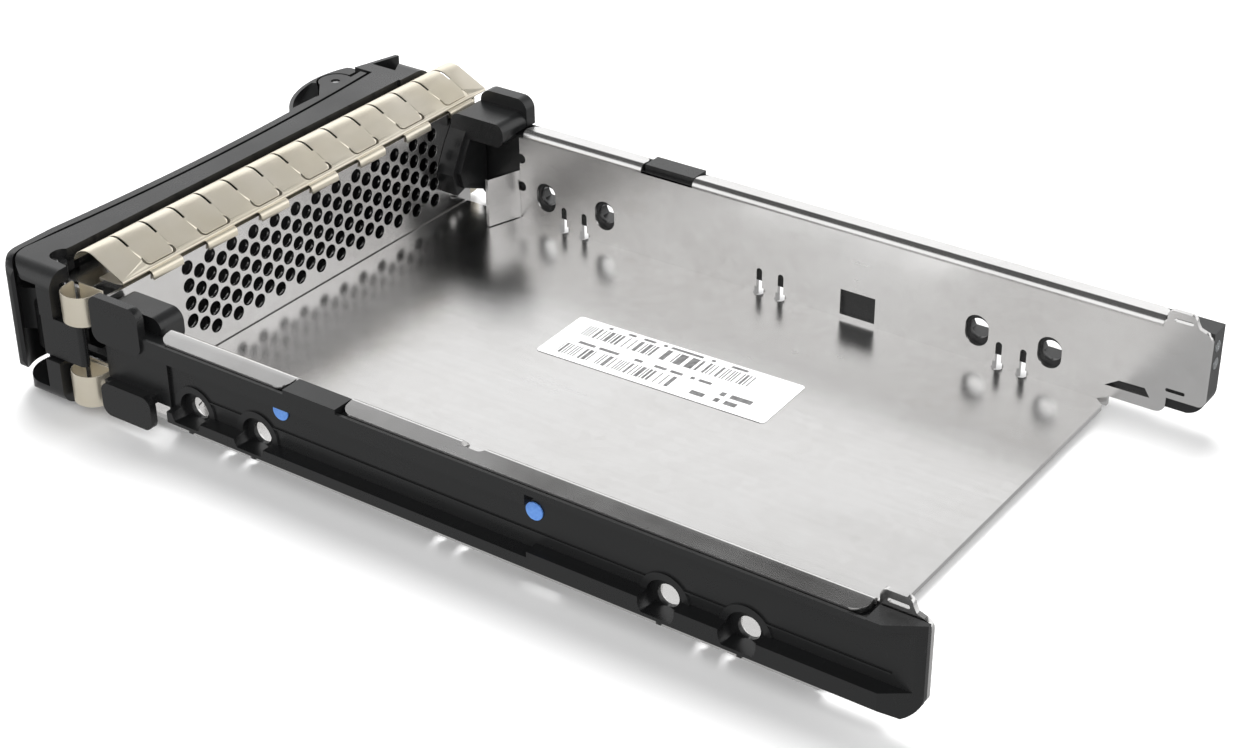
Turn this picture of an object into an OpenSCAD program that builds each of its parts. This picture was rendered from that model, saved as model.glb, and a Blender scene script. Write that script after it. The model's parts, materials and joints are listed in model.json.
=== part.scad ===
// Hot-swap carrier for one 3.5 inch drive, shown empty. Millimetres.
// The origin is the centre of the tray floor's top face, where the drive sits.
// +X is the carrier's right side seen from behind the bezel, +Y its rear, +Z up.
// Inside the modules Y counts rearwards from the floor's front seam: on_floor() moves it.

/* [Drive bay] */
// Clear width between the side walls
bay_w = 102.2; // [101.8:0.1:102.8]
// Length of the tray floor, front seam to rear edge
floor_len = 150.7; // [149:0.1:152]
// Height of the side walls above the floor
wall_h = 20.3; // [20:0.1:21]
// Thickness of the tray's sheet steel
sheet_t = 1.0; // [0.8:0.1:1.0]
// Y of the front screw hole when the drive sits in its forward position
screw_front_y = 21.8; // [21.6:0.1:22]
// How much further back the second set of screw holes is
screw_shift = 15.1; // [15:0.1:15.2]
// Distance between the two screws of one drive side
screw_pitch = 101.6; // [101.6]
// Height of the drive screws above the floor
screw_z = 6.35; // [6.35]
// Radius of the screw holes in the rails
screw_hole_r = 2.1; // [1.9:0.1:2.3]

/* [Side rails] */
// Overall width over both rails
rails_w = 113.6; // [113.2:0.1:114]
// Y of the rails' rear end
rail_end_y = 169.1; // [168.6:0.1:169.6]
// Thickness of a rail's web
web_t = 1.85; // [1.6:0.05:2]
// Y where the plastic pad in the flange gap begins
pad_front_y = 46.4; // [46.2:0.1:46.8]
// Length of that pad
pad_len = 11.8; // [11.4:0.1:12]

/* [Front bezel] */
// X of the bezel's left end
bezel_left_x = -57.2; // [-57.6:0.1:-57]
// X of the bezel's right end
bezel_right_x = 58.4; // [58.2:0.1:58.6]
// Height of the bezel's underside
bezel_bottom_z = -1.2; // [-1.4:0.1:-1]
// Height of the bezel's top face
bezel_top_z = 26.3; // [26:0.1:26.6]
// Rounding of the bezel's corners seen from the front
bezel_corner_r = 3.5; // [2:0.5:5]
// Y of the bezel ring's front face at its middle
ring_front_y = -18.6; // [-19:0.1:-18]
// Radius of the shallow hollow of the ring's front face
bow_r = 540; // [480:20:900]

/* [Handle] */
// X of the handle's hinge pin
hinge_x = 52; // [51.8:0.1:52.2]
// Thickness of the handle plate
handle_t = 1.7; // [1.5:0.1:1.8]
// Height of the handle plate's lower edge
handle_bottom_z = 2.6; // [2.4:0.1:3]
// Height of the handle plate's upper edge
handle_top_z = 26.1; // [25.8:0.1:26.2]
// Gap between the handle plate and the bezel ring
handle_gap = 1.05; // [0.8:0.05:1.2]
// Radius of the steel hinge pin
hinge_pin_r = 1.2; // [1:0.1:1.3]

/* [Latch] */
// X of the latch pin
latch_pin_x = -41.8; // [-41.9:0.1:-41.7]
// Y of the latch pin
latch_pin_y = -27.2; // [-27.3:0.1:-27.1]
// Radius of the thumb lobe's front
lobe_r = 22.2; // [21.8:0.1:22.6]
// Radius of the latch pin
latch_pin_r = 1.0; // [0.8:0.1:1.1]

/* [Shield and fingers] */
// Half width of the perforated shield box
shield_half_w = 52.6; // [52.4:0.1:52.7]
// Thickness of the shield's sheet
shield_t = 0.8; // [0.6:0.1:0.8]
// Diameter of one ventilation hole
vent_d = 2.9; // [2.4:0.1:3.2]
// Distance between holes of one column
vent_pitch_z = 3.8; // [3.7:0.05:3.9]
// Distance between neighbouring columns
vent_pitch_x = 3.03; // [3:0.01:3.1]
// Thickness of the contact finger strip
finger_t = 0.25; // [0.2:0.05:0.3]
// Distance between the slits of the top contact strip
slit_pitch = 7.32; // [7:0.02:7.5]

/* [Hidden] */
$fn = 48;

steel_colour = [0.78, 0.78, 0.76];
finger_colour = [0.86, 0.82, 0.72];
plastic_colour = [0.10, 0.10, 0.11];

slack = 0.05;
cut = 0.01;
bay_half = bay_w / 2;
screw_y = [screw_front_y, screw_front_y + screw_shift];
pad_y = [pad_front_y, pad_front_y + pad_len];
bezel_x = [bezel_left_x, bezel_right_x];
bezel_z = [bezel_bottom_z, bezel_top_z];
handle_z = [handle_bottom_z, handle_top_z];
latch_pin_at = [latch_pin_x, latch_pin_y];
wall_out = bay_half + sheet_t;
rail_out = rails_w / 2;
ring_rear_y = -13.7;
bezel_rear_y = -8.4;
inner_wall_y = [-15.2, -13.8];
block_x = -46.9;
opening_z = [2.2, 23.6];
cam_z = [8.7, 16.9];
light_pipe_x = -54.2;
light_pipe_z = [12.5, 16.1];
light_pipe_r = 1.15;
light_pipe_front_y = -24.1;
latch_z = [4.2, 24.6];
corner_r = bezel_x[1] - hinge_x;
hinge_at = [hinge_x, ring_y(hinge_x) + corner_r];

// ---------- helpers ----------

// The ring's front face, hollowed by a shallow bow that is deepest at x = 5
function ring_y(x) = ring_front_y - pow(x - 5, 2) / (2 * bow_r);
function arc(c, r, a0, a1, n = 8) =
    [for (i = [0:n]) let (a = a0 + (a1 - a0) * i / n) c + r * [cos(a), sin(a)]];
function unit(v) = v / norm(v);
function heading(path, i) = unit(path[min(i + 1, len(path) - 1)] - path[max(i - 1, 0)]);
function side(path, i, d) = let (h = heading(path, i)) path[i] + d * [-h[1], h[0]];
// Outline of a sheet of thickness t bent along a path
function bent_sheet(path, t) = concat(
    [for (i = [0:len(path) - 1]) side(path, i, t / 2)],
    [for (i = [len(path) - 1:-1:0]) side(path, i, -t / 2)]);
function screw_ys() = [for (y = screw_y) each [y, y + screw_pitch]];
function ring_section(c, h, r, n) =
    let (across = unit(cross(abs(h[2]) < 0.9 ? [0, 0, 1] : [1, 0, 0], h)), up = cross(h, across))
    [for (k = [0:n - 1]) c + r * (cos(360 * k / n) * across + sin(360 * k / n) * up)];
function coil(c, r, z0, z1, turns, a0, per_turn = 18) =
    [for (i = [0:turns * per_turn]) let (a = a0 + 360 * i / per_turn)
        [c[0] + r * cos(a), c[1] + r * sin(a), z0 + (z1 - z0) * i / (turns * per_turn)]];

module on_floor() {
    translate([0, -floor_len / 2, 0]) children();
}

module both_sides() {
    children();
    mirror([1, 0, 0]) children();
}

// A (y, z) outline as a slab from x0 to x1
module along_x(x0, x1) {
    translate([x0, 0, 0]) rotate([90, 0, 90]) linear_extrude(x1 - x0) children();
}

// An (x, z) outline as a slab from y0 to y1
module along_y(y0, y1) {
    translate([0, y1, 0]) rotate([90, 0, 0]) linear_extrude(y1 - y0) children();
}

// An (x, y) outline as a slab from z0 to z1
module along_z(z0, z1) {
    translate([0, 0, z0]) linear_extrude(z1 - z0) children();
}

module block(a, b) {
    translate(a) cube(b - a);
}

module rounded(a, b, r) {
    translate([a[0] + r, a[1]]) square([b[0] - a[0] - 2 * r, b[1] - a[1]]);
    translate([a[0], a[1] + r]) square([b[0] - a[0], b[1] - a[1] - 2 * r]);
    for (x = [a[0] + r, b[0] - r], y = [a[1] + r, b[1] - r]) translate([x, y]) circle(r);
}

module swept_wire(path, r, n = 8) {
    m = len(path);
    points = [for (i = [0:m - 1]) each ring_section(path[i], heading(path, i), r, n)];
    sides = [for (i = [0:m - 2], k = [0:n - 1])
        [i * n + k, (i + 1) * n + k, (i + 1) * n + (k + 1) % n, i * n + (k + 1) % n]];
    ends = [[for (k = [0:n - 1]) k], [for (k = [n - 1:-1:0]) (m - 1) * n + k]];
    polyhedron(points, concat(sides, ends));
}

// ---------- tray pan ----------

flange_y = [[16, 46], [58.5, 159.7]];
flange_half_w = 56.1;
wall_front_y = 15;
bend_z = wall_h - 1.7;
relief_y = [26.4, 31.6, 74.9, 79.9, 128.2, 133.3];

// Side view of one wall: its rear ends in an upper and a lower ear
module wall_outline() {
    polygon(concat(
        [[wall_front_y, -sheet_t], [floor_len, -sheet_t], [floor_len, 1.1]],
        arc([159.9, 3.1], 2, -90, 0, 6),
        [[161.9, 4.5]],
        arc([rail_end_y - 1.1, 5.6], 1.1, -90, 0, 4),
        arc([rail_end_y - 1.7, 17.9], 1.7, 0, 80, 5),
        [[166.5, 20]],
        arc([164.7, 21.1], 1.2, 0, 90, 5),
        arc([161.5, 21.1], 1.2, 90, 180, 5),
        [[160.3, 19.7], [159.8, 19.7], [159.8, bend_z], [wall_front_y, bend_z]]));
}

module wall_holes() {
    for (y = screw_ys()) translate([y, screw_z]) {
        for (dz = [-0.8, 0.8]) translate([0, dz]) circle(2.45);
        square([4.9, 1.6], center = true);
    }
    for (y = relief_y) {
        translate([y - 0.65, -2]) square([1.3, 6.65]);
        translate([y, 4.65]) circle(0.65);
    }
    translate([93.6, 0.8]) square([7.8, 5.5]);
    for (z = [5.8, 20.25]) rounded([161.6, z], [165.3, z + 0.7], 0.3);
    for (z = [7.4, 13.8]) translate([wall_front_y + 0.4, z]) circle(1.1);
    polygon([[149.9, 3.3], [152.6, 5], [157.7, 5.1], [158.8, 3.4]]);
}

module wall_flange() {
    bend = arc([bay_half + 1.7, bend_z], 1.2, 180, 98, 8);
    section = bent_sheet(concat([[bay_half + 0.5, bend_z - 0.4]], bend,
        [[flange_half_w, bend_z + 0.72]]), sheet_t);
    for (y = flange_y) intersection() {
        along_y(y[0], y[1]) polygon(section);
        along_z(bend_z - 1, wall_h + 1) rounded([bay_half - 4, y[0]], [flange_half_w, y[1]], 2.6);
    }
}

// Tab bent in from the wall's front edge: it stops the drive and clips the perforated plate
module stop_tab() {
    translate([wall_out - 0.2, wall_front_y + 0.2, 0]) rotate([0, 0, 198]) block([0, 0, 0.2], [9, 1, 11]);
}

module tray_pan() {
    color(steel_colour) on_floor() difference() {
        union() {
            along_z(-sheet_t, 0) difference() {
                translate([-wall_out, 0.3]) square([2 * wall_out, floor_len - 0.3]);
                both_sides() {
                    translate([bay_half, -1]) square([2, wall_front_y + 1]);
                    polygon([[bay_half, floor_len - 2], [wall_out + 1, floor_len - 2],
                        [wall_out + 1, floor_len + 1], [bay_half - 3, floor_len + 1]]);
                }
            }
            both_sides() {
                along_x(bay_half, wall_out) wall_outline();
                wall_flange();
                stop_tab();
            }
        }
        both_sides() {
            along_x(bay_half - 0.3, wall_out + 0.5) wall_holes();
            for (y = relief_y) translate([bay_half - 0.2, y, -2]) cylinder(h = 3, r = 1.1);
        }
        along_z(bend_z + 0.4, wall_h + 1) rounded([bay_half - 0.2, 82.2], [bay_half + 2.4, 87], 1.25);
    }
}

// ---------- shield box behind the bezel ----------

vent_columns = 24;
vent_first_x = 32.1;
vent_top_z = 19.3;

// Holes in staggered columns: the even columns start one half pitch higher
module vent_holes() {
    for (i = [0:vent_columns]) {
        odd = i % 2;
        rows = (odd == 1 || i == 0) ? 4 : 5;
        for (k = [0:rows - 1])
            translate([vent_first_x - i * vent_pitch_x, vent_top_z - (k + odd / 2) * vent_pitch_z])
                circle(d = vent_d);
    }
}

rivet_at = [[47.5, 4], [-47.5, 4]];
shield_top_z = 21.95;
flange_front_y = -13.2;

module perforated_plate() {
    w = shield_half_w;
    color(steel_colour) on_floor() difference() {
        union() {
            along_y(-shield_t, 0) difference() {
                translate([-w, -1]) square([2 * w, shield_top_z + 1]);
                vent_holes();
                for (p = rivet_at) translate(p) circle(1.25);
            }
            block([-w, flange_front_y, -1], [w, -shield_t + cut, -1 + shield_t]);
            along_z(shield_top_z - shield_t, shield_top_z) difference() {
                translate([-51.1, flange_front_y]) square([102.2, -shield_t + cut - flange_front_y]);
                both_sides() translate([47.5, -5.3]) square([5, 5.3 - shield_t]);
            }
            both_sides() block([w - shield_t, -10.9, -1], [w, -shield_t + cut, shield_top_z]);
        }
        both_sides() block([w - 2, -11, 7.6], [w + 1, -shield_t, 17.2]);
    }
}

module plate_rivets() {
    color(steel_colour) on_floor() for (p = rivet_at) translate([p[0], 0, p[1]]) rotate([90, 0, 0]) {
        translate([0, 0, -0.9]) cylinder(h = 0.9, r1 = 1.5, r2 = 2.3);
        cylinder(h = 6, r = 1.2);
    }
}

// ---------- contact finger strips ----------

strip_x = [-59.6, 47.9];
slit_first_x = 40.7;
slit_count = 14;
slit_w = 0.6;
base_z = shield_top_z + finger_t / 2 + 0.02;

// Side view of the top strip: a base leaf, a tight fold at the rear, a slope and a wide crest
top_strip_path = concat(
    [[-6.5, base_z], [-2.4, base_z], [-1.2, base_z + 0.2]],
    arc([-0.62, 22.72], 0.24, -65, 62, 4),
    arc([-9.05, 22.7], 4, 62, 162, 12));
// Side view of the lips that grip the plate's top edge
lip_path = concat([[-1.5, base_z + 0.15]], arc([-0.5, 21.47], 0.86, 85, 0, 5), [[0.36, 20.7]]);

// The slit that frees every second finger from the lip behind it
module tongue_slit() {
    difference() {
        rounded([-slit_pitch - slit_w / 2, -3], [slit_w / 2, -0.75], 1);
        rounded([-slit_pitch + slit_w / 2, -2.9], [-slit_w / 2, -1.1], 0.8);
        translate([-slit_pitch + slit_w / 2, -4]) square([slit_pitch - slit_w, 2.4]);
    }
}

module top_finger_strip() {
    color(finger_colour) on_floor() {
        difference() {
            along_x(strip_x[0], strip_x[1]) polygon(bent_sheet(top_strip_path, finger_t));
            for (i = [0:slit_count - 1]) {
                x = slit_first_x - i * slit_pitch;
                block([x - slit_w / 2, -14, 22.6], [x + slit_w / 2, -5.8, 28]);
                if (i % 2 == 0) translate([x, 0, 0]) along_z(22.3, 25) tongue_slit();
            }
        }
        for (i = [0:2:slit_count - 1]) {
            x = slit_first_x - i * slit_pitch;
            along_x(x - slit_pitch - 0.2, x + 0.3) polygon(bent_sheet(lip_path, finger_t));
        }
    }
}

module bottom_finger_strip() {
    path = concat([[-0.9, -1.17], [-2, -1.19]], arc([-8.6, 1.2], 3.1, -65, -130, 8));
    color(finger_colour) on_floor() difference() {
        along_x(-48, 48) polygon(bent_sheet(path, finger_t));
        for (i = [-6:6])
            block([i * slit_pitch - slit_w / 2, -14, -3], [i * slit_pitch + slit_w / 2, -5.5, 0]);
    }
}

// Two bulged springs on one side of the shield box, the upper one reaching up to top_z
module side_fingers(top_z) {
    bulge = [for (i = [0:14]) let (a = 90 - 180 * i / 14)
        [shield_half_w + 0.5 + 5 * pow(cos(a), 0.6), -4.3 + 3.75 * sin(a)]];
    base_x = shield_half_w + 0.05 + finger_t / 2;
    path = concat([[base_x, -6.5], [base_x, -0.45]], bulge, [[base_x + 0.5, -7.5]]);
    for (z = [[0.6, 6.9], [17.4, top_z]]) along_z(z[0], z[1]) polygon(bent_sheet(path, finger_t));
}

module right_side_fingers() {
    color(finger_colour) on_floor() side_fingers(23.3);
}

module left_side_fingers() {
    color(finger_colour) on_floor() mirror([1, 0, 0]) side_fingers(21.8);
}

// ---------- front bezel ----------

block_rear_y = -13.25;
pocket_x = -50.4;
pocket_floor_z = 21.5;
ridge_t = 1.0;

// The ring from above: hollow front, round right corner, and a leg back along the right side
module ring_plan() {
    front = [for (x = [block_x:6:hinge_x - 2]) [x, ring_y(x)]];
    polygon(concat(
        [[bezel_x[0], ring_rear_y], [bezel_x[0], ring_front_y - 2]],
        front,
        arc(hinge_at, corner_r, -88, 0, 12),
        [[bezel_x[1], bezel_rear_y], [53.4, bezel_rear_y - 0.2], [53, -12]],
        arc([50.6, ring_rear_y + 1.1], 2.4, 0, -150, 8),
        [[46.6, ring_rear_y]]));
}

// The left block's front face slants back towards the bezel's left end
function block_face_y(x) = -26 + (block_x - x) * 0.27;

// Left block: it carries the two status windows and catches the latch
module left_block() {
    along_z(bezel_z[0], bezel_z[1]) polygon([[block_x, block_face_y(block_x)],
        [bezel_x[0], block_face_y(bezel_x[0])], [bezel_x[0], block_rear_y], [block_x, block_rear_y]]);
    block([bezel_x[0], -14, bezel_z[0]], [-shield_half_w - 0.1, bezel_rear_y, shield_top_z - 0.1]);
}

// Thin square-cornered wall in front of the block's finger pocket
module block_ridge() {
    along_z(pocket_floor_z - 1, bezel_z[1]) polygon([
        [pocket_x, block_face_y(pocket_x)], [bezel_x[0], block_face_y(bezel_x[0])],
        [bezel_x[0], block_face_y(bezel_x[0]) + ridge_t], [pocket_x, block_face_y(pocket_x) + ridge_t]]);
}

// Three-cornered pocket behind that wall
module finger_pocket() {
    along_z(pocket_floor_z, bezel_z[1] + 1) polygon([[pocket_x, block_face_y(pocket_x) + ridge_t],
        [bezel_x[0] - 1, block_face_y(bezel_x[0] - 1) + ridge_t],
        [bezel_x[0] - 1, block_face_y(bezel_x[0]) + ridge_t + 0.3], [pocket_x, -17.6]]);
}

module hinge_knuckles() {
    for (z = [[opening_z[0] - 1, 8.2], [shield_top_z + 0.1, opening_z[1] + 1]])
        translate([hinge_at[0], hinge_at[1], z[0]]) cylinder(h = z[1] - z[0], r = 2.8);
}

module side_posts() {
    for (z = [[opening_z[0] - 1, 8.4], [17.5, opening_z[1] + 1]])
        block([55.8, -12, z[0]], [bezel_x[1], bezel_rear_y, z[1]]);
}

// Walls that the shield box slips over
module sleeve() {
    difference() {
        block([-51.6, inner_wall_y[0] + 0.4, -0.1], [51.6, -1, 21.1]);
        block([-50, inner_wall_y[0], 1.5], [50, 0, 19.6]);
    }
    for (p = rivet_at) block([p[0] - 2.6, -8, 1], [p[0] + 2.6, -1, p[1] + 3]);
}

// Outline of the bezel seen from the front; its left corners are rounder
module bezel_front_outline() {
    rounded([bezel_x[0], bezel_z[0]], [20, bezel_z[1]], bezel_corner_r + 1);
    rounded([0, bezel_z[0]], [bezel_x[1], bezel_z[1]], bezel_corner_r);
}

module bezel_solids() {
    intersection() {
        union() {
            along_z(bezel_z[0], opening_z[0]) ring_plan();
            along_z(opening_z[1], bezel_z[1]) ring_plan();
            left_block();
            side_posts();
            block([block_x - 1, inner_wall_y[0], bezel_z[0]], [46, inner_wall_y[1], opening_z[1] + 1]);
            hinge_knuckles();
        }
        along_y(-30, 0) bezel_front_outline();
    }
    block_ridge();
    sleeve();
}

module bezel_cuts() {
    // Air opening, and the side window where the handle's cam swings
    block([block_x + 1, inner_wall_y[0] - cut, 11.5], [44, inner_wall_y[1] + cut, 19]);
    block([44, -19, 8.2], [60, 0, 17.4]);
    // Room for the coil of the handle spring
    translate([hinge_at[0], hinge_at[1], 17.3]) cylinder(h = 4.4, r = 3.2);
    // Blind bore for the hinge pin
    translate([hinge_at[0], hinge_at[1], 0]) cylinder(h = 25.2, r = hinge_pin_r + 0.01);
    // Pocket behind the catch ledge, the two status windows and the finger pocket on top
    block([block_x - 1.7, -19, 8], [block_x + 1, -15.3, 20]);
    for (z = light_pipe_z) translate([light_pipe_x, -5, z]) rotate([90, 0, 0])
        cylinder(h = 25, r = light_pipe_r + 0.05);
    finger_pocket();
    for (p = rivet_at) translate([p[0], 0, p[1]]) rotate([90, 0, 0]) cylinder(h = 9, r = 1.22);
}

module front_bezel() {
    color(plastic_colour) on_floor() difference() {
        bezel_solids();
        bezel_cuts();
    }
}

// ---------- side rails ----------

lip_step_y = 98;
groove_front_z = [5.8, 15.9];
groove_rear_z = [6.9, 18];
rail_top_z = bend_z + 0.1;
web_x = wall_out + slack;
web_out = web_x + web_t;
screw_seat_t = 0.9;
counterbore_r = 3.5;
screw_boss_h = web_t + 0.35;

// Side view that trims the rail's rear end round
module rail_side_view() {
    rounded([140, 1.9], [rail_end_y, 30], 4.4);
    translate([0, -1]) square([160, 31]);
    translate([140, 15]) square([rail_end_y - 140, 10]);
}

module lower_lip(y0, y1, z) {
    along_y(y0, y1) polygon([[web_x, 2], [54.6, 2], [rail_out, 3.6], [rail_out, z], [web_x, z + 0.4]]);
}

module upper_lip(y0, y1, z) {
    block([web_x, y0, z], [rail_out, y1, rail_top_z]);
    block([flange_half_w + 0.1, y0, z], [rail_out, y1, 19.3]);
}

// Boss around one drive screw hole, with a counterbore and a rib below it
module screw_boss(y) {
    translate([web_x, y, screw_z]) rotate([0, 90, 0]) difference() {
        cylinder(h = screw_boss_h, r = 4.8);
        translate([0, 0, screw_seat_t]) cylinder(h = 5, r = counterbore_r);
    }
    block([web_x, y - 0.45, 2.4], [web_x + 3.8, y + 0.45, screw_z - screw_hole_r - 0.3]);
}

// Front corner: two wings that stand beside the shield box
module lower_wing() {
    along_x(55.7, 57.2) rounded([0.7, 0.2], [13.2, 7], 2);
    block([52.9, 0.7, 5.2], [56, 12.6, 6.8]);
}

module upper_wing() {
    along_x(55.6, 57.3) difference() {
        rounded([0.5, 15.6], [12.6, 25], 2);
        translate([-0.8, 24.3]) rotate([0, 0, 32]) square([6, 4]);
    }
    block([52.9, 0.5, 16], [56, 12.6, 18.7]);
    // Hook that wraps the shield's corner
    along_x(47.6, 53.2) rounded([0.5, 15.4], [14.3, 21.9], 2.4);
}

module rail_solids() {
    block([web_x, wall_front_y, 2], [web_out, rail_end_y, rail_top_z]);
    block([52.9, 0.5, 5.2], [54.6, wall_front_y + 1, rail_top_z]);
    lower_lip(17, lip_step_y, groove_front_z[0]);
    lower_lip(lip_step_y, rail_end_y, groove_rear_z[0]);
    upper_lip(12, lip_step_y, groove_front_z[1]);
    upper_lip(lip_step_y, rail_end_y, groove_rear_z[1]);
    block([web_x + 0.2, 160.5, 18], [rail_out, rail_end_y, 19.4]);
    block([web_x + 0.2, pad_y[0], 18], [rail_out, pad_y[1], 20.2]);
    block([web_x, 22, 9.1], [web_out + 0.3, 164, 9.4]);
    for (y = screw_ys()) screw_boss(y);
    lower_wing();
}

// The rail as it stands on the right side
module rail(guide_nose = true) {
    difference() {
        intersection() {
            union() {
                rail_solids();
                children();
            }
            along_x(40, 60) rail_side_view();
        }
        // The screw's clearance hole, and the counterbore's mouth through the lower lip
        for (y = screw_ys()) translate([0, y, screw_z]) rotate([0, 90, 0]) {
            cylinder(h = 60, r = screw_hole_r);
            translate([0, 0, web_x + screw_seat_t]) intersection() {
                cylinder(h = 5, r = counterbore_r);
                translate([-4, -5, 0]) cube([4 + screw_hole_r, 10, 5]);
            }
        }
        if (guide_nose) translate([rail_out, 163.2, 0]) rotate([0, 0, 32])
            block([0, -5, -5], [10, 14, 30]);
    }
}

module right_rail() {
    color(plastic_colour) on_floor() rail() upper_wing();
}

module left_rail() {
    color(plastic_colour) on_floor() mirror([1, 0, 0]) difference() {
        rail(guide_nose = false) {
            block([web_x, 162.6, 4], [rail_out, rail_end_y, 19.4]);
            // Skirt behind the wall's window
            block([web_x, 92.6, 0.4], [web_out, 102.4, 3]);
        }
        for (z = light_pipe_z) translate([-light_pipe_x, 0, z]) rotate([-90, 0, 0])
            cylinder(h = 180, r = light_pipe_r + 0.06);
    }
}

module rail_markers() {
    color([0.25, 0.45, 0.85]) on_floor() for (y = [43, 98])
        translate([web_out, y, 13.4]) rotate([0, 90, 0]) cylinder(h = 0.35, r = 1.7);
}

// ---------- light pipes and their cover ----------

module light_pipe(z) {
    on_floor() translate([light_pipe_x, rail_end_y + 0.1, z]) rotate([90, 0, 0])
        cylinder(h = rail_end_y + 0.1 - light_pipe_front_y, r = light_pipe_r);
}

module lower_light_pipe() {
    color([0.9, 0.93, 0.95, 0.6]) light_pipe(light_pipe_z[0]);
}

module upper_light_pipe() {
    color([0.9, 0.93, 0.95, 0.6]) light_pipe(light_pipe_z[1]);
}

module light_pipe_cover() {
    color(plastic_colour) on_floor() difference() {
        union() {
            along_x(-57.6, -54.7) rounded([2.2, 7.4], [14.4, 25.4], 2.6);
            along_x(-55, -46.5) rounded([0.5, 17.4], [14.3, 22.6], 2.2);
            along_y(0.1, 4.4) polygon([[-52.6, 20.6], [-47.6, 20.6], [-44.4, 15.8], [-41.6, 10.4],
                [-42.9, 5.4], [-45.6, 6.2], [-52.6, 3.2]]);
            along_y(4, 5.4) polygon([[-52, 20], [-48.2, 20], [-45.4, 15.4], [-43, 10.6], [-44, 7],
                [-46, 7.4], [-52, 5]]);
        }
        // Clearance around the left rail, the rivet head and the light pipes
        block([-54.65, 0, 3], [-52.85, 16, 18.75]);
        block([-58, 11.9, 7], [-51, 16, 19.4]);
        translate([rivet_at[1][0], 0, rivet_at[1][1]]) rotate([-90, 0, 0]) cylinder(h = 1, r = 2.5);
        for (z = light_pipe_z) translate([light_pipe_x, 20, z]) rotate([90, 0, 0])
            cylinder(h = 30, r = light_pipe_r + 0.1);
    }
}

module label() {
    color("white") on_floor() translate([-15.4, 77.2, 0]) rotate([0, 0, 1.8])
        along_z(0, 0.12) rounded([-7.9, -25.4], [7.9, 25.4], 0.8);
}

// ---------- handle ----------

handle_end_x = block_x + 0.7;
handle_in_r = corner_r + 0.6;
handle_out_r = handle_in_r + handle_t - 0.3;

// Follows the ring's front with an even gap, and wraps its right corner
module handle_plan() {
    xs = [for (x = [handle_end_x:6:hinge_x - 4]) x];
    rear = [for (x = xs) [x, ring_y(x) - handle_gap]];
    front = [for (i = [len(xs) - 1:-1:0]) [xs[i], ring_y(xs[i]) - handle_gap - handle_t]];
    polygon(concat(
        rear,
        arc(hinge_at, handle_in_r, -84, -34, 8),
        arc(hinge_at + [6.05, -4.6], 0.6, 10, -40, 3),
        arc(hinge_at, handle_out_r, -44, -82, 6),
        front));
}

// Hinge barrel, the web that joins it to the plate, and the cam that levers on the chassis
module hinge_barrel() {
    translate([hinge_at[0], hinge_at[1], cam_z[0] - 0.2]) cylinder(h = cam_z[1] - cam_z[0] + 0.2, r = 4.2);
    along_z(10.6, 19.2) polygon(concat(
        arc(hinge_at, 3.2, -62, -130, 6),
        arc(hinge_at, handle_in_r + 0.6, -130, -62, 8)));
    along_z(cam_z[0], cam_z[1]) polygon(concat(
        [hinge_at + [-1.5, 3.6], hinge_at + [4.1, -0.4], hinge_at + [5.5, 1.4]],
        arc(hinge_at + [4.5, 10.7], 1, 0, 150, 5),
        [hinge_at + [2.4, 8.4]]));
}

module handle_vents() {
    for (x = [-18:5.2:44]) along_y(-28, -15) rounded([x - 1.3, 7], [x + 1.3, 21.6], 1.28);
}

// Plan of the ears on the plate's front that hold the latch pin
module ear_plan(grow = 0) {
    translate(latch_pin_at) circle(3.7 + grow);
    polygon([[-44.9 - grow, -27], [-44.9 - grow, -21.9], [-31.5 + grow, -21.9], [-33.4 + grow, -24.5 - grow],
        [-38.4, -28.7 - grow]]);
}

module latch_ears() {
    for (z = [latch_z[0], latch_z[1] - 2.2]) along_z(z, z + 2.2) ear_plan();
}

module handle() {
    color(plastic_colour) on_floor() difference() {
        union() {
            intersection() {
                along_z(handle_z[0], handle_z[1]) handle_plan();
                along_y(-40, 0) union() {
                    rounded([0, handle_z[0]], [58.4, handle_z[1]], bezel_corner_r);
                    translate([-50, handle_z[0]]) square([70, handle_z[1] - handle_z[0]]);
                }
            }
            hinge_barrel();
            latch_ears();
        }
        handle_vents();
        translate([hinge_at[0], hinge_at[1], 0]) cylinder(h = 30, r = hinge_pin_r + slack);
        translate([latch_pin_at[0], latch_pin_at[1], 0]) cylinder(h = 30, r = latch_pin_r + 0.01);
        block([handle_end_x - 1, -25, 8.5], [-39.8, -15, 19.5]);
        along_z(8.5, 19.5) translate(latch_pin_at) circle(4.1);
    }
}

module handle_pin() {
    color(steel_colour) on_floor() translate([hinge_at[0], hinge_at[1], 0.1])
        cylinder(h = 25, r = hinge_pin_r);
}

// Torsion spring: one leg bears on the bezel's inner wall, the other on the handle plate
module handle_spring() {
    c = coil(hinge_at, 2.2, 17.8, 20.2, 4, 90);
    fixed_leg = [[43, inner_wall_y[1] + 0.36, 17.8], [hinge_at[0] - 3, inner_wall_y[1] + 0.5, 17.8]];
    free_leg = [[hinge_at[0] - 2.6, hinge_at[1] - 2.4, 20.3], [43, ring_y(43) - handle_gap + 0.4, 20.3]];
    path = concat(fixed_leg, c, [for (i = [1:9]) let (a = 90 + 20 * i)
        [hinge_at[0] + 2.2 * cos(a), hinge_at[1] + 2.2 * sin(a), 20.2 + i / 90]], free_leg);
    color(steel_colour) on_floor() swept_wire(path, 0.3);
}

// ---------- latch ----------

lobe_at = [-40.5, -9.5];
lobe_rear_y = -24.3;

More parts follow.
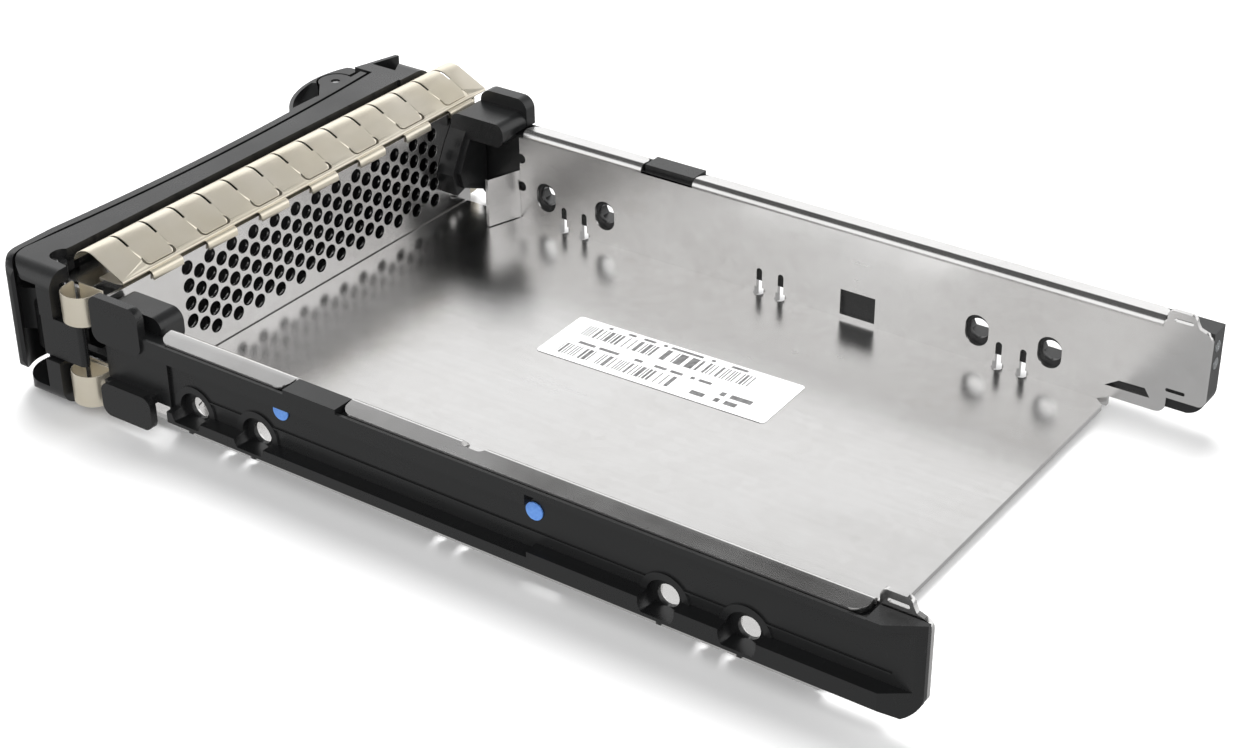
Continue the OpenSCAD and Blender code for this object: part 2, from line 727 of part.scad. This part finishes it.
// The thumb lobe from above: a shallow arc with a tight left corner, open where the ears sit
module lobe_plan(inset = 0) {
    difference() {
        intersection() {
            translate(lobe_at) circle(lobe_r - inset, $fn = 160);
            union() {
                translate([-46.6, -50]) square([40, 50 + lobe_rear_y - inset]);
                translate([-49.2 + inset, -28.7]) square([4, 1.8 - inset]);
                translate([-46.6, -28.7]) circle(2.6 - inset);
            }
        }
        translate([-60, latch_pin_at[1] + 0.3]) square([60 + latch_pin_at[0] - 3.9, 30]);
    }
}

module latch() {
    pin = [latch_pin_at[0], latch_pin_at[1], 0];
    color(plastic_colour) on_floor() difference() {
        union() {
            along_z(latch_z[0], latch_z[1]) lobe_plan();
            translate(pin + [0, 0, 6.8]) cylinder(h = 15.2, r = 3.6);
            // Arm through the handle plate, with the tooth that hooks behind the bezel's ledge
            block([-44.2, -26, 9.2], [-41.4, -16.4, 18.8]);
            block([block_x - 0.9, -18.7, 9.2], [-44, -16.4, 18.8]);
        }
        translate(pin) cylinder(h = 30, r = latch_pin_r + slack);
        for (z = [[3, 6.8], [22, 25]]) along_z(z[0], z[1]) ear_plan(0.45);
        // Room for the spring, and the hollow where the thumb rests
        translate(pin + [0, 0, 18.7]) cylinder(h = 4, r = 2.7);
        intersection() {
            translate([-31.5, -26.8, latch_z[1] + 9.2]) sphere(r = 12);
            along_z(20, 30) lobe_plan(0.8);
        }
    }
}

module latch_pin() {
    color(steel_colour) on_floor() translate([latch_pin_at[0], latch_pin_at[1], latch_z[0] + 0.3])
        cylinder(h = latch_z[1] - latch_z[0] - 0.6, r = latch_pin_r);
}

module latch_spring() {
    color(steel_colour) on_floor() swept_wire(coil(latch_pin_at, 1.85, 19.2, 21.8, 4, 0, 14), 0.25, 6);
}

tray_pan();
perforated_plate();
plate_rivets();
top_finger_strip();
bottom_finger_strip();
right_side_fingers();
left_side_fingers();
front_bezel();
right_rail();
left_rail();
rail_markers();
light_pipe_cover();
upper_light_pipe();
lower_light_pipe();
label();
handle_pin();
handle_spring();
handle();
latch_pin();
latch_spring();
latch();
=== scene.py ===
import json
import math

import bmesh
import bpy
from mathutils import Matrix, Vector

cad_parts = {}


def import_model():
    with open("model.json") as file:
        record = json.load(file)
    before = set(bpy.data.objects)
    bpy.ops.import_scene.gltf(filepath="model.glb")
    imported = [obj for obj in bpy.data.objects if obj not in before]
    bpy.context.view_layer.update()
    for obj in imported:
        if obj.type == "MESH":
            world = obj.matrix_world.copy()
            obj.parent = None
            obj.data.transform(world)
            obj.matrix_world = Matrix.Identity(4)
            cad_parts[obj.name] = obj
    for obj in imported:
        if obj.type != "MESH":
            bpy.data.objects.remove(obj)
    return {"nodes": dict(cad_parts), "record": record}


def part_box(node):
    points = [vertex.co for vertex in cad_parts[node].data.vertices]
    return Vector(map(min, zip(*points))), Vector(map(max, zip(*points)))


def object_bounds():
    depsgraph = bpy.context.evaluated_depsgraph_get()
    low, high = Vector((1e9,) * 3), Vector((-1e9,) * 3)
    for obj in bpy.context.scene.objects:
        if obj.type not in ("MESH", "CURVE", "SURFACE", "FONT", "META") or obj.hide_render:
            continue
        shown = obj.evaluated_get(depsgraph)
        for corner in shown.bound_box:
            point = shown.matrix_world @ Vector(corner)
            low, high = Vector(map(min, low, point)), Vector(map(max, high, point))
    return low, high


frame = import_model()
cad_bounds = [list(corner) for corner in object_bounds()]
nodes = frame["nodes"]
MM = 0.001

# Edges sharper than this are bevelled and shaded sharp
SHARP_ANGLE = math.radians(32)
# Neighbouring triangles flatter than this become one face before the bevel
FLAT_ANGLE = math.radians(0.3)
WELD_GAP = 0.001 * MM
NORMAL_WEIGHT = 80

CAMERA_AT = (0.303591, 0.216687, 0.222659)
CAMERA_RIGHT = (-0.57611, 0.81733, -0.00790)
CAMERA_DOWN = (0.41515, 0.28427, -0.86420)
CAMERA_LENS = 68.33
# Sky strength on the camera's side and on the far side, and the level direction away from the camera
SKY_NEAR = 1.3
SKY_FAR = 1.25
AWAY = (-0.90, -0.44, 0.0)
FLOOR_R = 3.0
FLOOR_GAP = 0.1 * MM
LABEL_TURN = math.radians(1.8)


# ---------- node helpers ----------

class Shader:
    """Builds one procedural material. Sizes are in metres of the object's own space."""

    def __init__(self, name):
        self.material = bpy.data.materials.new(name)
        self.material.use_nodes = True
        self.tree = self.material.node_tree
        self.surface = self.tree.nodes["Principled BSDF"]
        self.coords = self.tree.nodes.new("ShaderNodeTexCoord").outputs["Object"]

    def node(self, kind, settings=None, **inputs):
        made = self.tree.nodes.new("ShaderNode" + kind)
        for key, value in (settings or {}).items():
            setattr(made, key, value)
        for key, value in inputs.items():
            self.feed(made.inputs[key.replace("_", " ")], value)
        return made

    def feed(self, socket, value):
        if isinstance(value, bpy.types.NodeSocket):
            self.tree.links.new(value, socket)
        else:
            socket.default_value = value

    def stretched(self, scale):
        return self.node("Mapping", Vector=self.coords, Scale=scale).outputs[0]

    def noise(self, scale, detail=3.0, rough=0.5, vector=None):
        return self.node("TexNoise", Vector=vector or self.coords, Scale=scale, Detail=detail,
                         Roughness=rough).outputs["Fac"]

    def span(self, value, low, high, start=0.3, end=0.7):
        """value from start..end becomes low..high."""
        made = self.node("MapRange", Value=value)
        for key, number in (("From Min", start), ("From Max", end), ("To Min", low), ("To Max", high)):
            made.inputs[key].default_value = number
        return made.outputs[0]

    def math(self, operation, a, b=0.0):
        made = self.node("Math", {"operation": operation})
        self.feed(made.inputs[0], a)
        self.feed(made.inputs[1], b)
        return made.outputs[0]

    def mix(self, factor, a, b):
        made = self.node("Mix", {"data_type": "RGBA"})
        self.feed(made.inputs[0], factor)
        self.feed(made.inputs[6], a)
        self.feed(made.inputs[7], b)
        return made.outputs[2]

    def bump(self, height, distance, strength=1.0, normal=None):
        made = self.node("Bump", Height=height, Distance=distance, Strength=strength)
        if normal is not None:
            self.feed(made.inputs["Normal"], normal)
        return made.outputs[0]

    def finish(self, **inputs):
        for key, value in inputs.items():
            self.feed(self.surface.inputs[key.replace("_", " ")], value)
        return self.material


def grey(value, warm=0.0):
    return (value * (1 + warm), value, value * (1 - warm), 1)


# ---------- materials ----------

def zinc_sheet():
    s = Shader("zinc_sheet")
    cloud = s.noise(30, 5, 0.62)
    spangle = s.node("TexVoronoi", Vector=s.coords, Scale=420.0).outputs["Color"]
    streak = s.noise(1.0, 4, 0.6, s.stretched((900, 24, 900)))
    tint = s.mix(s.span(cloud, 0, 1, 0.35, 0.65), grey(0.64, 0.014), grey(0.76, 0.008))
    tint = s.mix(s.math("MULTIPLY", spangle, 0.2), tint, grey(0.84))
    rough = s.math("ADD", s.span(streak, 0.225, 0.25), s.span(cloud, -0.03, 0.04))
    waves = s.bump(s.noise(26, 2, 0.5), 0.0006, 0.35)
    normal = s.bump(s.noise(1.0, 3, 0.6, s.stretched((1500, 60, 1500))), 0.00001, 0.08, waves)
    return s.finish(Base_Color=tint, Metallic=1.0, Roughness=rough, Normal=normal)


def finger_metal():
    s = Shader("finger_metal")
    cloud = s.noise(60, 3, 0.55)
    streak = s.noise(1.0, 4, 0.6, s.stretched((30, 1100, 1100)))
    tint = s.mix(s.span(cloud, 0, 1), (0.84, 0.77, 0.62, 1), (0.92, 0.86, 0.74, 1))
    rough = s.span(streak, 0.30, 0.38)
    waves = s.bump(s.noise(85, 2, 0.5), 0.0004, 0.4)
    normal = s.bump(streak, 0.00001, 0.15, waves)
    return s.finish(Base_Color=tint, Metallic=0.8, Roughness=rough, Normal=normal)


def black_plastic():
    s = Shader("black_plastic")
    cloud = s.noise(70, 4, 0.6)
    grain = s.noise(5200, 2, 0.5)
    scuff = s.noise(1.0, 5, 0.7, s.stretched((260, 1900, 700)))
    tint = s.mix(s.span(scuff, 0, 0.5, 0.62, 0.80), grey(0.010, -0.03), grey(0.05))
    rough = s.math("ADD", s.span(cloud, 0.26, 0.36), s.span(grain, -0.03, 0.03))
    return s.finish(Base_Color=tint, Roughness=rough, Normal=s.bump(grain, 0.00002, 0.5))


def clear_plastic():
    s = Shader("clear_plastic")
    haze = s.noise(500, 3, 0.5)
    s.feed(s.surface.inputs["Transmission Weight"], 0.85)
    return s.finish(Base_Color=s.mix(haze, (0.86, 0.92, 0.96, 1), (0.97, 0.99, 1, 1)), IOR=1.49,
                    Roughness=s.span(haze, 0.03, 0.12), Normal=s.bump(haze, 0.00002, 0.3))


def blue_plastic():
    s = Shader("blue_plastic")
    grain = s.noise(1800, 3, 0.6)
    tint = s.mix(s.span(grain, 0, 1), (0.12, 0.30, 0.80, 1), (0.18, 0.40, 0.90, 1))
    return s.finish(Base_Color=tint, Roughness=s.span(grain, 0.3, 0.45),
                    Normal=s.bump(grain, 0.00003, 0.4))


def pin_steel():
    s = Shader("pin_steel")
    ring = s.noise(1.0, 3, 0.5, s.stretched((300, 300, 4000)))
    return s.finish(Base_Color=s.mix(s.span(ring, 0, 1), grey(0.52), grey(0.66)), Metallic=1.0,
                    Roughness=s.span(ring, 0.2, 0.4), Normal=s.bump(ring, 0.00001, 0.4))


def label_paper():
    """Blank paper with two rows of plain bars and some short dashes in place of the print."""
    s = Shader("label_paper")
    low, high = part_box("label")
    centre = (low + high) / 2
    turned = s.node("Mapping", {"vector_type": "TEXTURE"}, Vector=s.coords, Location=centre,
                    Rotation=(0, 0, LABEL_TURN)).outputs[0]
    split = s.node("SeparateXYZ", Vector=turned)
    across, along = split.outputs[0], split.outputs[1]

    def band(value, low, high):
        return s.math("MULTIPLY", s.math("GREATER_THAN", value, low), s.math("LESS_THAN", value, high))

    def cells(value, pitch, seed):
        step = s.math("ADD", s.math("FLOOR", s.math("DIVIDE", value, pitch)), seed)
        return s.node("TexWhiteNoise", {"noise_dimensions": "1D"}, W=step).outputs["Value"]

    def bars(x0, x1, y0, y1, pitch, seed, fill):
        inside = s.math("MULTIPLY", band(across, x0, x1), band(along, y0, y1))
        return s.math("MULTIPLY", inside, s.math("LESS_THAN", cells(along, pitch, seed), fill))

    ink = bars(0.0022, 0.0062, -0.022, 0.004, 0.00028, 3.5, 0.5)
    for more in (bars(-0.0058, -0.0018, -0.022, 0.016, 0.00028, 47.5, 0.5),
                 bars(0.0004, 0.0013, -0.020, 0.010, 0.0009, 11.5, 0.66),
                 bars(-0.0072, -0.0064, -0.020, 0.014, 0.0009, 23.5, 0.6),
                 bars(0.0022, 0.0036, 0.008, 0.020, 0.0011, 31.5, 0.62),
                 bars(0.0046, 0.0060, 0.008, 0.018, 0.0011, 5.5, 0.55)):
        ink = s.math("MAXIMUM", ink, more)
    fibre = s.noise(900, 4, 0.6)
    paper = s.mix(s.span(fibre, 0, 1), grey(0.84), grey(0.92))
    tint = s.mix(s.math("MULTIPLY", ink, s.span(fibre, 0.8, 0.95)), paper, grey(0.05))
    return s.finish(Base_Color=tint, Roughness=s.span(fibre, 0.4, 0.55), Normal=s.bump(fibre, 0.00002, 0.3))


MATERIALS = {"zinc_sheet": zinc_sheet(), "finger_metal": finger_metal(), "black_plastic": black_plastic(),
             "clear_plastic": clear_plastic(), "blue_plastic": blue_plastic(), "pin_steel": pin_steel(),
             "label_paper": label_paper()}


# ---------- finishing the CAD nodes ----------

# Bevel width per material; the finger strips and the paper have none
BEVELS = {"black_plastic": 0.22 * MM, "zinc_sheet": 0.12 * MM, "finger_metal": 0.0,
          "clear_plastic": 0.12 * MM, "blue_plastic": 0.08 * MM, "pin_steel": 0.15 * MM, "label_paper": 0.0}


def dress(obj, slot):
    """Material, small edge bevels and clean flat shading for one CAD node."""
    obj.data.materials.clear()
    obj.data.materials.append(MATERIALS[slot])
    weld = obj.modifiers.new("weld", "WELD")
    weld.merge_threshold = WELD_GAP
    if BEVELS[slot]:
        flat = obj.modifiers.new("flat", "DECIMATE")
        flat.decimate_type = "DISSOLVE"
        flat.angle_limit = FLAT_ANGLE
        bevel = obj.modifiers.new("bevel", "BEVEL")
        bevel.width = BEVELS[slot]
        bevel.segments = 2
        bevel.limit_method = "ANGLE"
        bevel.angle_limit = SHARP_ANGLE
        bevel.use_clamp_overlap = True
    obj.data.shade_smooth()
    obj.data.set_sharp_from_angle(angle=SHARP_ANGLE)
    normals = obj.modifiers.new("normals", "WEIGHTED_NORMAL")
    normals.keep_sharp = True
    normals.weight = NORMAL_WEIGHT


for part in frame["record"]["subparts"]:
    dress(nodes[part["node"]], part["material_slot"])


# ---------- studio ----------

def world():
    """Bright band all round with a dark cap overhead. The camera itself sees plain white."""
    made = bpy.data.worlds.new("studio")
    made.use_nodes = True
    tree = made.node_tree
    tree.nodes.clear()

    def node(kind, **settings):
        made = tree.nodes.new("ShaderNode" + kind)
        for key, value in settings.items():
            setattr(made, key, value)
        return made

    def link(a, b):
        tree.links.new(a, b)

    coords = node("TexCoord")
    split = node("SeparateXYZ")
    link(coords.outputs["Generated"], split.inputs[0])
    # Brightness by height: dim below, full from the horizon to 37 degrees, dark above
    ramp = node("ValToRGB")
    ramp.color_ramp.interpolation = "EASE"
    stops = [(0.0, 0.30), (0.44, 0.42), (0.51, 1.0), (0.80, 1.0), (0.83, 0.05), (1.0, 0.10)]
    for k, (place, value) in enumerate(stops):
        stop = ramp.color_ramp.elements[k] if k < 2 else ramp.color_ramp.elements.new(place)
        stop.position = place
        stop.color = (value, value, value, 1)
    height = node("MapRange")
    height.inputs["From Min"].default_value = -1
    link(split.outputs[2], height.inputs["Value"])
    link(height.outputs[0], ramp.inputs[0])
    away = node("VectorMath", operation="DOT_PRODUCT")
    away.inputs[1].default_value = AWAY
    link(coords.outputs["Generated"], away.inputs[0])
    side = node("MapRange", interpolation_type="SMOOTHSTEP")
    for key, value in (("From Min", -0.7), ("From Max", 0.6), ("To Min", SKY_NEAR), ("To Max", SKY_FAR)):
        side.inputs[key].default_value = value
    link(away.outputs["Value"], side.inputs["Value"])
    light = node("Background")
    link(ramp.outputs[0], light.inputs["Color"])
    link(side.outputs[0], light.inputs["Strength"])
    plain = node("Background")
    plain.inputs["Color"].default_value = (1, 1, 1, 1)
    rays = node("LightPath")
    mixed = node("MixShader")
    link(rays.outputs["Is Camera Ray"], mixed.inputs[0])
    link(light.outputs[0], mixed.inputs[1])
    link(plain.outputs[0], mixed.inputs[2])
    link(mixed.outputs[0], node("OutputWorld").inputs[0])
    bpy.context.scene.world = made


def area(name, place, size, power):
    """Soft lamp aimed at the origin. It lights surfaces but doesn't mirror in them."""
    light = bpy.data.lights.new(name, "AREA")
    light.shape = "DISK"
    light.size = size
    light.energy = power
    obj = bpy.data.objects.new(name, light)
    bpy.context.scene.collection.objects.link(obj)
    aim = (-Vector(place)).to_track_quat("-Z", "Y").to_matrix().to_4x4()
    obj.matrix_world = Matrix.Translation(place) @ aim
    obj.visible_glossy = False


def floor():
    """Pale floor just under the object. Reflections and bounce light pass through it."""
    low_z = cad_bounds[0][2]
    mesh = bpy.data.meshes.new("floor")
    shape = bmesh.new()
    bmesh.ops.create_circle(shape, cap_ends=True, segments=96, radius=FLOOR_R)
    shape.to_mesh(mesh)
    shape.free()
    obj = bpy.data.objects.new("floor", mesh)
    obj.location = (0, 0, low_z - FLOOR_GAP)
    bpy.context.scene.collection.objects.link(obj)
    s = Shader("floor")
    soft = s.noise(3, 2)
    mesh.materials.append(s.finish(Base_Color=s.mix(soft, grey(0.90), grey(0.93)), Roughness=0.9,
                                   Specular_IOR_Level=0.0))
    obj.visible_glossy = False
    obj.visible_diffuse = False


def camera():
    data = bpy.data.cameras.new("camera")
    data.sensor_width = 36
    data.lens = CAMERA_LENS
    data.clip_start = 0.01
    obj = bpy.data.objects.new("camera", data)
    right = Vector(CAMERA_RIGHT).normalized()
    down = Vector(CAMERA_DOWN).normalized()
    forward = right.cross(-down).normalized() * -1
    turn = Matrix((right, -down, -forward)).transposed().to_4x4()
    obj.matrix_world = Matrix.Translation(CAMERA_AT) @ turn
    bpy.context.scene.collection.objects.link(obj)
    bpy.context.scene.camera = obj


world()
area("key", (-0.5, -0.4, 1.1), 0.9, 20)
area("fill", (0.7, 0.6, 0.9), 1.2, 8)
floor()
camera()
bpy.context.scene.view_settings.view_transform = "Standard"
